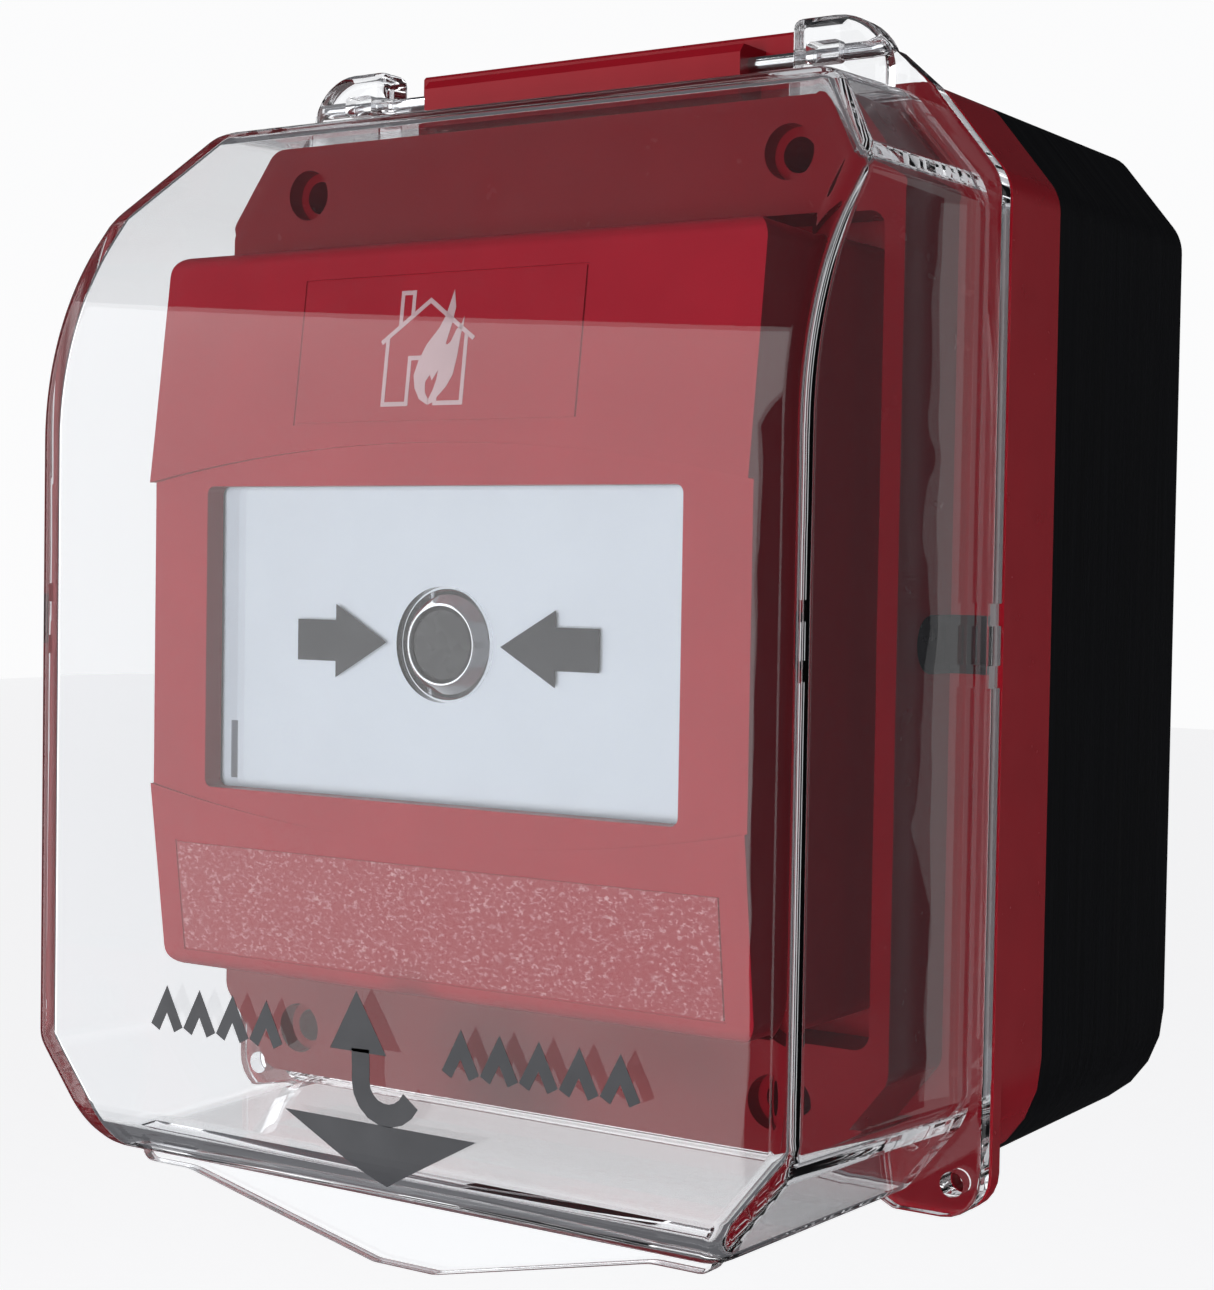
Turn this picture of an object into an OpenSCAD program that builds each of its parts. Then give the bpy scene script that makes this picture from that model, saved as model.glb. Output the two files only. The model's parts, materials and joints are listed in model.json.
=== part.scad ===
// Resettable manual call point behind a hinged clear cover, on a deep surface back box.
// Millimetres. X is to the right, Z is up and the front faces -Y. The wall is the plane Y = 0.
// The origin is on the wall, behind the centre of the call point.
// Depths below are distances from the wall, so a depth d lies at Y = -d.

/* [Outline] */
// Width of the back box, the base flange and the cover rim
body_w = 114.4; // [112:0.2:118]
// Height of the top edge above the call point's centre
top_z = 64.5; // [63.5:0.5:66]
// Height of the bottom edge, below the call point's centre
bottom_z = -67.2; // [-68:0.2:-66.8]
// Radius of the outline's bottom corners
bottom_r = 15.2; // [14:0.2:15.4]

/* [Depths] */
// Depth of the back box
box_d = 42; // [40:1:46]
// Thickness of the base flange
flange_t = 14; // [12:1:16]
// Height of the platform above the flange
platform_t = 14; // [13:1:16]
// Height of the call point's face above the platform
face_t = 20; // [19:1:22]
// Gap between the call point's face and the cover's front, outside to outside
cover_gap = 10.8; // [10:0.2:13]

/* [Cover] */
// Wall thickness of the clear cover
cover_wall = 2.4; // [2:0.1:3]
// Half width of the cover's front
cover_half_w = 54.9; // [54:0.1:55.2]
// Height at which the front starts to curve back
curve_z = 21.5; // [18:0.5:26]
// Radius of the front's upper curve
curve_r = 42; // [38:1:46]
// Half width at which the finger lip starts to widen towards its point
lip_half_w = 34; // [28:1:36]
// Depth that the lip's point reaches below the call point's centre
lip_drop = 75.5; // [74:0.5:77]

/* [Hinge] */
// Height of the hinge rod
rod_z = 68.2; // [68.2:0.1:68.5]
// Radius of the hinge rod
rod_r = 0.95; // [0.8:0.05:1.1]
// Running clearance between the rod and the ears
rod_gap = 0.07; // [0.05:0.01:0.1]
// Height of the hinge ears above the rod's centre
ear_rise = 4.4; // [4:0.1:4.5]
// Where the ears start and end along the rod
ear_x = [30.8, 43.5];

/* [Call point] */
// Width of the call point
cp_w = 87; // [86:0.5:88]
// Height of the call point
cp_h = 89.6; // [88:0.4:90]
// Gap round the call point in its recess
cp_gap = 3; // [2.5:0.1:3]
// Height of the button's centre
button_z = -2.5; // [-3:0.1:-2]
// Radius of the button
button_r = 4.5; // [4:0.1:5]
// Travel of the button
button_travel = 3; // [2:0.5:3]

/* [Hidden] */

eps = 0.05;
$fn = 48;

// Depths of the main planes
flange_d = box_d + flange_t;
platform_d = flange_d + platform_t;
face_d = platform_d + face_t;
cover_d = face_d + cover_gap;
rim_back = flange_d + 0.3;
rim_t = 3;
rim_d = rim_back + rim_t;
rod_d = flange_d + 3.3;
half_w = body_w / 2;

// Back box and base
box_wall = 3.4;
base_wall = 3;
screw_x = 36;
screw_zs = [54.2, -55];
pocket_d = platform_d - 8;
pocket_w = cp_w + 2 * cp_gap;
pocket_h = cp_h + 2 * cp_gap;
ledge_t = 3;
rear_w = 70;
rear_h = 72;
seal_hole = [53.6, -64.4];
seal_hole_r = 1.5;
wall_hole = [30, 40];
wall_hole_r = 2.25;
grommet_z = -30;
catch_z = -1.4;

// Call point
split_d = face_d - 14;
skirt_t = 3.8;
ridge = 0.9;
end_drop = 2.5;
band_edge = [-21.2, 16.5];
band_rise = 4.7;
window = [-34.75, 34.75, -21.3, 16.2];
pane_front = face_d - 2.9;
plate_front = face_d - 4.1;
plate_back = face_d - 5.6;
cp_screw = [38, 39];
boss = [29, 30];
slope_run = cp_h / 2 - 18.8;
slope = (ridge + end_drop) / slope_run;
button_front = face_d - 2.8;
head_back = face_d - 9.6;
stem_r = 2;
flag_slot = [-33.7, -32.6, -20.3, -13.1];
flag_travel = 6;
chassis_d = face_d - 18;
reset_d = face_d - 10;
reset_r = 3.5;
cam_offset = 2.5;
cam_pin_r = 0.9;

function unit(v) = v / norm(v);

// Points of an arc of radius r that rounds the corner b between a and c
function corner(a, b, c, r, n = 6) =
  let (
    u = unit(a - b),
    v = unit(c - b),
    half = acos(u * v) / 2,
    centre = b + unit(u + v) * r / sin(half),
    start = b + u * r / tan(half) - centre,
    stop = b + v * r / tan(half) - centre,
    a0 = atan2(start.y, start.x),
    turn = atan2(start.x * stop.y - start.y * stop.x, start * stop)
  )
  [for (i = [0:n]) centre + r * [cos(a0 + turn * i / n), sin(a0 + turn * i / n)]];

// A closed outline whose corners are rounded, each with its own radius
function rounded(pts, radii, n = 6) =
  let (count = len(pts))
  [for (i = [0:count - 1])
    each corner(pts[(i + count - 1) % count], pts[i], pts[(i + 1) % count], radii[i], n)];

function mirrored(right) = concat(right, [for (i = [len(right) - 1:-1:0]) [-right[i].x, right[i].y]]);

// Extrude a shape drawn in X and Z between two depths
module slab(d0, d1) {
  rotate([90, 0, 0]) translate([0, 0, d0]) linear_extrude(d1 - d0) children();
}

// Extrude a shape drawn in depth and Z between two X values
module side_slab(x0, x1) {
  rotate([90, 0, -90]) translate([0, 0, -x1]) linear_extrude(x1 - x0) children();
}

// Cylinders along the depth, along X and along Z
module rod_y(x, z, d0, d1, r) {
  translate([x, -d0, z]) rotate([90, 0, 0]) cylinder(r = r, h = d1 - d0);
}

module rod_x(x0, x1, d, z, r) {
  translate([x0, -d, z]) rotate([0, 90, 0]) cylinder(r = r, h = x1 - x0);
}

module rod_zed(x, d, z0, z1, r) {
  translate([x, -d, z0]) cylinder(r = r, h = z1 - z0);
}

module block(x, d, z) {
  translate([x[0], -d[1], z[0]]) cube([x[1] - x[0], d[1] - d[0], z[1] - z[0]]);
}

module round_rect(w, h, r) {
  x = w / 2;
  z = h / 2;
  polygon(rounded([[x, z], [-x, z], [-x, -z], [x, -z]], [r, r, r, r]));
}

module both_sides() {
  children();
  mirror([1, 0, 0]) children();
}

// Outline shared by the back box and the flange, smaller by inset all round
module outline(inset = 0) {
  offset(delta = -inset)
    polygon(rounded(
      mirrored([[47.6, top_z], [half_w, 52.4], [half_w, bottom_z]]),
      [5, 6, bottom_r, bottom_r, 6, 5]));
}

module platform_outline(inset = 0) {
  offset(delta = -inset)
    polygon(rounded(
      mirrored([[41.8, 60.5], [49, 50.8], [49, -51], [41, -61]]),
      [3, 3, 3, 3, 3, 3, 3, 3]));
}

// One bottom corner lug, with its seal hole left solid
module lug_shape() {
  polygon(rounded(
    [[40, -60], [half_w, -50], [half_w, seal_hole.y - 4.1], [46, seal_hole.y - 4.1], [42, -66.5]],
    [1, 1, 5, 2, 1]));
}

// A coil of round wire, standing along Z from zero
module coil(mean_r, wire_r, length, turns, sides = 8, steps = 14) {
  count = turns * steps;
  rise = length - 2 * wire_r;
  rings = [for (i = [0:count])
    let (a = 360 * i / steps)
    [for (s = [0:sides - 1])
      let (b = 360 * s / sides, r = mean_r + wire_r * cos(b))
      [r * cos(a), r * sin(a), wire_r + rise * i / count + wire_r * sin(b)]]];
  polyhedron(
    points = [for (ring = rings) each ring],
    faces = concat(
      [[for (s = [0:sides - 1]) s]],
      [for (i = [0:count - 1], s = [0:sides - 1])
        let (t = (s + 1) % sides)
        [i * sides + s, (i + 1) * sides + s, (i + 1) * sides + t, i * sides + t]],
      [[for (s = [sides - 1:-1:0]) count * sides + s]]));
}

module back_box() {
  color("#16181b") difference() {
    union() {
      difference() {
        slab(0, box_d) outline();
        slab(base_wall, box_d + 1) outline(box_wall);
      }
      both_sides() for (z = screw_zs) rod_y(screw_x, z, base_wall - eps, box_d, 5);
      both_sides() for (z = [-wall_hole.y, wall_hole.y])
        rod_y(wall_hole.x, z, base_wall - eps, base_wall + 1, 5);
    }
    // Groove for the seal
    slab(box_d - 1.2, box_d + 1) difference() {
      outline(0.9);
      outline(2.5);
    }
    both_sides() for (z = screw_zs) {
      rod_y(screw_x, z, box_d - 8.4, box_d + 1, 2.1);
      rod_y(screw_x, z, box_d - 16, box_d, 1.4);
    }
    both_sides() for (z = [-wall_hole.y, wall_hole.y])
      rod_y(wall_hole.x, z, -1, base_wall + 2, wall_hole_r);
    rod_y(0, grommet_z, -1, base_wall + 1, 9);
    rod_y(0, grommet_z, -1, 1.5, 11.5);
  }
}

module base_gasket() {
  color("#101010") slab(box_d - 1.15, box_d) difference() {
    outline(0.95);
    outline(2.45);
  }
}

module screw_inserts() {
  color("#b8923f") both_sides() for (z = screw_zs) difference() {
    rod_y(screw_x, z, box_d - 8, box_d - 0.1, 2.1);
    rod_y(screw_x, z, box_d - 9, box_d + 1, 1.3);
  }
}

module cable_grommet() {
  color("#1b1b1b") difference() {
    union() {
      rod_y(0, grommet_z, 0.2, 1.45, 11);
      rod_y(0, grommet_z, 0.2, 4.5, 8.9);
      rod_y(0, grommet_z, base_wall + 0.05, 4.5, 11);
    }
    rod_y(0, grommet_z, -1, 6, 3.5);
  }
}

// Section of the hinge bar: a web that rises from the flange and a block round the rod
module hinge_web_section() {
  polygon([
    [flange_d - 3.2, top_z - 1], [flange_d - 3.2, rod_z + 4.0], [flange_d - 2.8, rod_z + 4.4],
    [flange_d - 0.6, rod_z + 4.4], [flange_d - 0.2, rod_z + 4.0], [flange_d - 0.2, top_z - 1]
  ]);
}

module hinge_block_section() {
  polygon([
    [flange_d - 1, rod_z - 3.5], [flange_d - 1, rod_z + 2.3], [rod_d + 1.9, rod_z + 2.3],
    [rod_d + 2.8, rod_z + 1.2], [rod_d + 2.8, rod_z - 2], [rod_d + 0.6, rod_z - 3.5]
  ]);
}

module cover_base_shell() {
  difference() {
    union() {
      slab(box_d, flange_d) outline();
      slab(flange_d - eps, platform_d) platform_outline();
      both_sides() slab(flange_d - 2.2, flange_d) lug_shape();
      side_slab(-29, 29) hinge_web_section();
      side_slab(-24, 24) hinge_block_section();
    }
    slab(box_d - 1, flange_d - base_wall) outline(base_wall);
    slab(box_d, platform_d - base_wall) platform_outline(base_wall);
  }
}

module cover_base() {
  tube_r = 4.4;
  color("#9d1420") difference() {
    union() {
      cover_base_shell();
      intersection() {
        slab(pocket_d - ledge_t, platform_d) round_rect(pocket_w + 5, pocket_h + 5, 3);
        slab(box_d, platform_d) platform_outline();
      }
      both_sides() for (z = screw_zs) rod_y(screw_x, z, box_d, platform_d - 1, tube_r);
      both_sides() for (z = [-cp_screw.y, cp_screw.y])
        rod_y(cp_screw.x, z, pocket_d - 10, pocket_d - ledge_t + eps, 3.4);
    }
    slab(pocket_d, platform_d + 1) round_rect(pocket_w, pocket_h, 2);
    slab(box_d, pocket_d + 1) round_rect(rear_w + 2, rear_h + 2, 3);
    both_sides() for (z = screw_zs) {
      rod_y(screw_x, z, platform_d - 2.5, platform_d + 1, 3.25);
      rod_y(screw_x, z, box_d + 10, platform_d, 2.1);
      rod_y(screw_x, z, box_d - 1, box_d + 11, 1.4);
    }
    both_sides() for (z = [-cp_screw.y, cp_screw.y])
      rod_y(cp_screw.x, z, pocket_d - 9, pocket_d + 1, 1.45);
    both_sides() rod_y(seal_hole.x, seal_hole.y, flange_d - 5, flange_d + 1, seal_hole_r);
    both_sides() catch_pocket();
    rod_x(-30, 30, rod_d, rod_z, rod_r);
  }
}

// Keyhole pocket beside the platform, behind the tab of the cover's rim
module catch_pocket() {
  block([49, 55.4], [flange_d - 2, flange_d + 1], [catch_z - 2.3, catch_z + 2.3]);
  block([47.4, 50], [flange_d - 2, flange_d + 5], [catch_z - 2.3, catch_z + 2.3]);
  rod_x(47.4, 50, flange_d + 5.5, catch_z, 3.35);
}

module cover_base_screws() {
  color("#8f9296") both_sides() for (z = screw_zs) difference() {
    union() {
      rod_y(screw_x, z, box_d + 10, box_d + 11.8, 2);
      rod_y(screw_x, z, box_d - 7, box_d + 10.5, 1.25);
    }
    block([screw_x - 1.5, screw_x + 1.5], [box_d + 11, box_d + 12], [z - 0.3, z + 0.3]);
    block([screw_x - 0.3, screw_x + 0.3], [box_d + 11, box_d + 12], [z - 1.5, z + 1.5]);
  }
}

module hinge_rod() {
  color("#c9ccd0") rod_x(-ear_x[1] + 1.5, ear_x[1] - 1.5, rod_d, rod_z, rod_r);
}

// Front view of the cover at its front face and at its rim, smaller by inset all round
module cover_front_outline(inset) {
  offset(delta = -inset)
    polygon(rounded(
      mirrored([[44.5, 66], [cover_half_w, 51], [cover_half_w, -54.5], [45.4, bottom_z - 0.2]]),
      [3, 4, 5, 5, 5, 5, 4, 3]));
}

module cover_rim_outline(inset) {
  offset(delta = -inset)
    polygon(rounded(
      mirrored([[45.2, top_z - 0.6], [cover_half_w + 1, 51], [cover_half_w + 1, -56], [46.6, bottom_z - 0.2]]),
      [4, 5, 5, 4, 4, 5, 5, 4]));
}

// Side view of the cover: flat front, upper curve, slope to the top edge
module cover_side_profile(inset) {
  r = curve_r - inset;
  centre_d = cover_d - curve_r;
  low_r = 6.4;
  polygon(concat(
    [[40, bottom_z + inset]],
    [for (i = [-6:0]) [cover_d - low_r + (low_r - inset) * cos(15 * i), bottom_z + low_r + (low_r - inset) * sin(15 * i)]],
    [for (i = [0:14]) [centre_d + r * cos(3 * i), curve_z + r * sin(3 * i)]],
    [[79.2 - inset, 63 - inset], [40, top_z - inset]]));
}

module cover_form(inset, back) {
  intersection() {
    hull() {
      slab(back, back + 0.1) cover_rim_outline(inset);
      slab(cover_d - 4, cover_d - 3.9) cover_front_outline(inset);
      slab(cover_d - inset - 0.1, cover_d - inset) cover_front_outline(inset + 2.2);
    }
    side_slab(-60, 60) cover_side_profile(inset);
  }
}

module cover_ears() {
  both_sides() {
    side_slab(ear_x[0], ear_x[1]) polygon(rounded(
      [[rim_back, top_z - 3], [rim_back, rod_z + ear_rise], [rod_d + 2.8, rod_z + ear_rise],
        [rod_d + 2.8, top_z - 3]],
      [0.3, 2.6, 1.6, 0.3]));
    // Web that joins the ear's outer side to the rim
    slab(rim_back, rim_d) polygon([[ear_x[0], 62], [ear_x[0], rod_z], [43.3, rod_z], [48.6, 63.4], [48.6, 62]]);
  }
}

module ear_cuts() {
  both_sides() {
    rod_x(ear_x[0] - 1, ear_x[1] - 1.2, rod_d, rod_z, rod_r + rod_gap);
    block([ear_x[0] + 2.2, ear_x[0] + 6.6], [rod_d, rod_d + 8], [rod_z - 1.3, rod_z + 1.3]);
    // Shallow recess in the ear's top
    block([ear_x[0] + 2.5, ear_x[0] + 8], [rod_d - 1.2, rod_d + 1.4], [rod_z + ear_rise - 0.8, rod_z + 6]);
    // The ear's outer top corner is rounded off
    translate([ear_x[1] - 7, -rod_d + 10, rod_z + ear_rise - 7]) rotate([90, 0, 0]) difference() {
      translate([0, 0, -5]) cube([10, 10, 30]);
      translate([0, 0, -6]) cylinder(r = 7, h = 32);
    }
  }
}

module finger_lip() {
  slab(cover_d - 9.8, cover_d - 6.6) polygon(rounded(
    mirrored([[42, bottom_z + 1], [42, bottom_z - 1.7], [lip_half_w, bottom_z - 1.7], [4.5, -lip_drop]]),
    [0.4, 1.8, 8, 5, 5, 8, 1.8, 0.4]));
}

module clear_cover() {
  color("#dfe8ee", 0.35) difference() {
    union() {
      difference() {
        union() {
          cover_form(0, rim_back);
          slab(rim_back, rim_d) outline();
          both_sides() slab(rim_back, rim_d) lug_shape();
          cover_ears();
        }
        cover_form(cover_wall, rim_back - 1);
      }
      finger_lip();
    }
    ear_cuts();
    both_sides() rod_y(seal_hole.x, seal_hole.y, rim_back - 1, rim_d + 1, seal_hole_r);
    // Shallow steps beside the tab at mid height of each side
    both_sides() for (z = [[catch_z - 4.9, catch_z - 2.3], [catch_z + 2.3, catch_z + 4.9]])
      block([half_w - 0.5, half_w + 1], [rim_back - 1, rim_d + 1], z);
  }
}

module call_point_body() {
  color("#93141f") difference() {
    union() {
      difference() {
        union() {
          slab(pocket_d, split_d) round_rect(cp_w, cp_h, 2.5);
          slab(36, pocket_d + eps) round_rect(rear_w, rear_h, 2);
        }
        slab(pocket_d + 2.4, split_d + 1) round_rect(cp_w - 5, cp_h - 5, 1.5);
        slab(38.4, pocket_d + 3) round_rect(rear_w - 4.4, rear_h - 4.4, 1);
      }
      both_sides() for (z = [-boss.y, boss.y]) rod_y(boss.x, z, 38.3, chassis_d - 2, 3);
      both_sides() for (z = [-18, 18]) rod_y(24, z, 38.3, 42, 2.5);
    }
    both_sides() for (z = [-boss.y, boss.y]) rod_y(boss.x, z, chassis_d - 12, chassis_d - 1, 1.1);
    both_sides() for (z = [-cp_screw.y, cp_screw.y])
      rod_y(cp_screw.x, z, pocket_d - 1, pocket_d + 4, 1.6);
    block([-17.7, 17.7], [30, 40], [-20.2, -9.8]);
  }
}

module call_point_screws() {
  color("#8f9296") both_sides() for (z = [-cp_screw.y, cp_screw.y]) difference() {
    union() {
      rod_y(cp_screw.x, z, pocket_d + 2.4, pocket_d + 4, 2.5);
      rod_y(cp_screw.x, z, pocket_d - 7, pocket_d + 3, 1.4);
    }
    block([cp_screw.x - 1.6, cp_screw.x + 1.6], [pocket_d + 3.3, pocket_d + 5], [z - 0.3, z + 0.3]);
    block([cp_screw.x - 0.3, cp_screw.x + 0.3], [pocket_d + 3.3, pocket_d + 5], [z - 1.6, z + 1.6]);
  }
}

module mechanism_chassis() {
  color("#e4e2da") difference() {
    union() {
      slab(chassis_d - 2, chassis_d) round_rect(72, 68, 3);
      // Pillars behind the backing plate
      both_sides() for (z = [-21, 12]) block([25, 29], [chassis_d - 1, plate_back - 0.05], [z, z + 4]);
      // Guide rails of the status flag
      block([-38.6, -37.4], [chassis_d - 1, plate_back - 0.05], [-28, 0]);
      block([-38.6, -29.6], [chassis_d - 2, chassis_d], [-29, 1]);
      // Shelf behind the plate that carries the microswitch
      block([-14, 6], [46, 56], [-7.6, -5.8]);
      block([-14, -8.5], [55, chassis_d - 1], [-7.6, -5.8]);
      // Stop of the latch spring
      block([14, 16], [64.5, chassis_d - 1], [-24, -16]);
    }
    rod_y(0, button_z, chassis_d - 3, chassis_d + 1, stem_r + 0.06);
    both_sides() for (z = [-boss.y, boss.y]) rod_y(boss.x, z, chassis_d - 3, chassis_d + 1, 1.6);
    for (x = [-9, 1]) rod_zed(x, 51, -9, -5, 0.9);
  }
}

module chassis_screws() {
  color("#8f9296") both_sides() for (z = [-boss.y, boss.y]) difference() {
    union() {
      rod_y(boss.x, z, chassis_d, chassis_d + 1.6, 2.4);
      rod_y(boss.x, z, chassis_d - 9, chassis_d + 1, 1.1);
    }
    block([boss.x - 1.5, boss.x + 1.5], [chassis_d + 1, chassis_d + 2], [z - 0.3, z + 0.3]);
  }
}

// Upper or lower sloping part of the front, as seen from the side; lift is the height above the slope
module slope_section(z0, z1, lift0, lift1) {
  d0 = face_d + ridge - slope * (z0 - 18.8);
  d1 = face_d + ridge - slope * (z1 - 18.8);
  polygon([[d0 + lift0, z0], [d0 + lift1, z0], [d1 + lift1, z1], [d1 + lift0, z1]]);
}

module front_side_profile() {
  top = cp_h / 2;
  near = face_d + ridge + slope * 10;
  far = face_d - end_drop;
  polygon(rounded(
    [[split_d - 5, -top], [far, -top], [near, -8.8], [near, 8.8], [far, top], [split_d - 5, top]],
    [0.1, 2, 5, 5, 2, 0.1]));
}

// The middle band of the front, between two shallow arches
module band_shape() {
  half = cp_w / 2 + 1;
  r = (half * half + band_rise * band_rise) / (2 * band_rise);
  n = 20;
  reach = asin(half / r);
  polygon(concat(
    [for (i = [0:n]) let (a = reach - 2 * reach * i / n)
      [r * sin(a), band_edge[1] + band_rise - r + r * cos(a)]],
    [for (i = [0:n]) let (a = -reach + 2 * reach * i / n)
      [r * sin(a), band_edge[0] - band_rise + r - r * cos(a)]]));
}

module window_rect(grow) {
  w = window[1] - window[0] + 2 * grow;
  h = window[3] - window[2] + 2 * grow;
  translate([0, (window[3] + window[2]) / 2]) round_rect(w, h, 1 + grow / 2);
}

module call_point_front() {
  color("#a51d27") difference() {
    union() {
      difference() {
        intersection() {
          slab(split_d, face_d + 3) round_rect(cp_w, cp_h, 2.5);
          side_slab(-50, 50) front_side_profile();
        }
        slab(face_d, face_d + 5) band_shape();
        slab(split_d - 1, face_d - 5.5) round_rect(cp_w - 2 * skirt_t, cp_h - 2 * skirt_t, 1.5);
      }
      // Tongue that locates the front in the body
      slab(split_d - 4, split_d + eps) difference() {
        round_rect(cp_w - 5.4, cp_h - 5.4, 1.4);
        round_rect(cp_w - 2 * skirt_t, cp_h - 2 * skirt_t, 1.5);
      }
    }
    slab(face_d - 20, face_d + 5) window_rect(0);
    slab(face_d - 20, pane_front) window_rect(1.95);
    side_slab(-20.7, 20.7) slope_section(23.5, 40.8, -0.25, 2);
    mirror([0, 0, 1]) side_slab(-40, 40) slope_section(28.4, 42.6, -0.25, 2);
    rod_zed(0, reset_d, -50, -40, reset_r + 0.08);
  }
}

module symbol_label() {
  color("#a51d27") side_slab(-20.45, 20.45) slope_section(23.75, 40.55, -0.25, 0.05);
}

module information_label() {
  color("#b04a52") mirror([0, 0, 1]) side_slab(-39.75, 39.75) slope_section(28.65, 42.35, -0.25, 0.05);
}

module operating_pane() {
  color("#e8eef2", 0.35) difference() {
    slab(plate_front + 0.02, pane_front - 0.02) window_rect(1.75);
    rod_y(0, button_z, plate_front - 1, pane_front + 1, 6.9);
  }
}

module backing_plate() {
  color("#dfe3e6") difference() {
    slab(plate_back, plate_front) window_rect(1.75);
    rod_y(0, button_z, plate_back - 1, plate_front + 1, 5.3);
    block([flag_slot[0], flag_slot[1]], [plate_back - 1, plate_front + 1], [flag_slot[2], flag_slot[3]]);
  }
}

module button_ring() {
  bore = button_r + 0.08;
  color("#d8dade") translate([0, -plate_front, button_z]) rotate([90, 0, 0]) rotate_extrude($fn = 64)
    polygon([
      [bore, -4.4], [5.25, -4.4], [5.25, 0], [6.6, 0], [6.6, 0.35], [5.6, 1.1], [4.85, 1.6],
      [bore, 1.6]
    ]);
}

module push_button() {
  head = button_front - head_back;
  pin_d = head_back - 0.9;
  color("#141416") union() {
    translate([0, -head_back, button_z]) rotate([90, 0, 0]) rotate_extrude($fn = 64)
      polygon([[0, 0], [button_r, 0], [button_r, head - 0.4], [button_r - 0.4, head], [0, head]]);
    rod_y(0, button_z, 70.8, head_back + 1, stem_r);
    rod_y(0, button_z, 69.3, 70.9, 1.4);
    rod_y(0, button_z, 62, 69.4, stem_r);
    block([-30.2, 0], [head_back - 1.8, head_back + eps], [button_z - 1.5, button_z + 1.5]);
    rod_x(-33.2, -30, pin_d, button_z, 0.9);
  }
}

module button_spring() {
  color("#b9bcc0") translate([0, -(head_back - 1.85), button_z]) rotate([-90, 0, 0])
    coil(2.9, 0.3, head_back - 1.9 - chassis_d, 4);
}

module status_flag() {
  pin_d = head_back - 0.9;
  color("#d8b31c") difference() {
    union() {
      block([-37, -30.8], [plate_back - 1.9, plate_back - 0.6], [-27, -12.6]);
      block([-31.9, -30.8], [73.8, plate_back - 1], [-14, 0.5]);
    }
    // Slanted slot: the button's pin drives the flag up as it moves in
    side_slab(-33, -30) hull() {
      translate([pin_d + 0.2, button_z + 0.4]) circle(r = 1.05, $fn = 24);
      translate([pin_d - button_travel - 0.2, button_z - flag_travel - 0.4]) circle(r = 1.05, $fn = 24);
    }
  }
}

module latch_slide() {
  color("#cfd2d6") difference() {
    union() {
      block([-7, 6], [66.5, 67.7], [-35.5, 3.5]);
      block([-4, 6], [66.5, 82], [-35.5, -34]);
    }
    slab(66, 68) hull() {
      translate([-0.2, button_z]) circle(r = stem_r + 0.3, $fn = 32);
      translate([-2.5, button_z]) circle(r = stem_r + 0.3, $fn = 32);
    }
    // Yoke slot for the cam pin
    block([-1.25, 1.25], [75.8, 80], [-36, -33]);
  }
}

module latch_spring() {
  color("#b9bcc0") translate([6.05, -67.1, -20]) rotate([0, 90, 0]) coil(1.6, 0.25, 7.9, 5);
}

module reset_barrel() {
  color("#2a2a2d") difference() {
    union() {
      rod_zed(0, reset_d, -44.7, -36.4, reset_r);
      rod_zed(0, reset_d, -40.8, -39.8, 4.3);
      rod_zed(0, reset_d - cam_offset, -37, -33.2, cam_pin_r);
    }
    block([-2.2, 2.2], [reset_d - 0.7, reset_d + 0.7], [-46, -39.5]);
  }
}

module switch_body() {
  color("#202226") difference() {
    union() {
      block([-14, 6], [46, 56], [-5.7, 0.7]);
      block([-13.4, -10.6], [56 - eps, 57.4], [-4.4, -0.6]);
      for (x = [-13, -5, 3]) block([x, x + 1], [44, 46.1], [-4.1, -0.9]);
    }
    for (x = [-9, 1]) rod_zed(x, 51, -6, 1, 0.95);
    rod_y(-6, button_z, 52, 57, 0.85);
  }
}

module switch_lever() {
  angle = 14.5;
  color("#c9ccd0") union() {
    translate([-12, -57.9, button_z]) rotate([0, 0, -angle])
      translate([0, -0.3, -1.7]) cube([14.2, 0.4, 3.4]);
    // Rolled end round the pivot
    rod_zed(-12, 57.9, button_z - 1.7, button_z + 1.7, 0.44);
  }
}

module switch_plunger() {
  color("#b02028") rod_y(-6, button_z, 54, 59.1, 0.8);
}

module switch_screws() {
  color("#8f9296") for (x = [-9, 1]) union() {
    rod_zed(x, 51, -7.4, 0.8, 0.85);
    rod_zed(x, 51, 0.75, 1.8, 1.7);
  }
}

module circuit_board() {
  color("#1d6b3c") difference() {
    slab(42, 43.6) round_rect(56, 46, 1);
    both_sides() for (z = [-18, 18]) rod_y(24, z, 41, 45, 1.1);
  }
}

module line_resistors() {
  color("#c8b98a") for (z = [12, 17]) {
    rod_x(10, 16.3, 44.8, z, 1.15);
    rod_x(8, 18.3, 44.8, z, 0.3);
  }
}

module terminal_block() {
  color("#2e6f46") difference() {
    block([-17.5, 17.5], [31, 42], [-20, -10]);
    for (i = [-2:2]) {
      rod_y(i * 6.6, -15, 30, 35, 1.9);
      block([i * 6.6 - 1.7, i * 6.6 + 1.7], [35.5, 39], [-21, -16]);
    }
  }
}

module terminal_screws() {
  color("#c9ccd0") for (i = [-2:2]) difference() {
    rod_y(i * 6.6, -15, 32, 35, 1.85);
    block([i * 6.6 - 2, i * 6.6 + 2], [31, 32.8], [-15.3, -14.7]);
  }
}

back_box();
base_gasket();
screw_inserts();
cable_grommet();
cover_base();
cover_base_screws();
hinge_rod();
clear_cover();
call_point_body();
call_point_screws();
mechanism_chassis();
chassis_screws();
call_point_front();
symbol_label();
information_label();
operating_pane();
backing_plate();
button_ring();
push_button();
button_spring();
status_flag();
latch_slide();
latch_spring();
reset_barrel();
switch_body();
switch_lever();
switch_plunger();
switch_screws();
circuit_board();
line_resistors();
terminal_block();
terminal_screws();
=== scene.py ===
import json
import math

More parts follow.
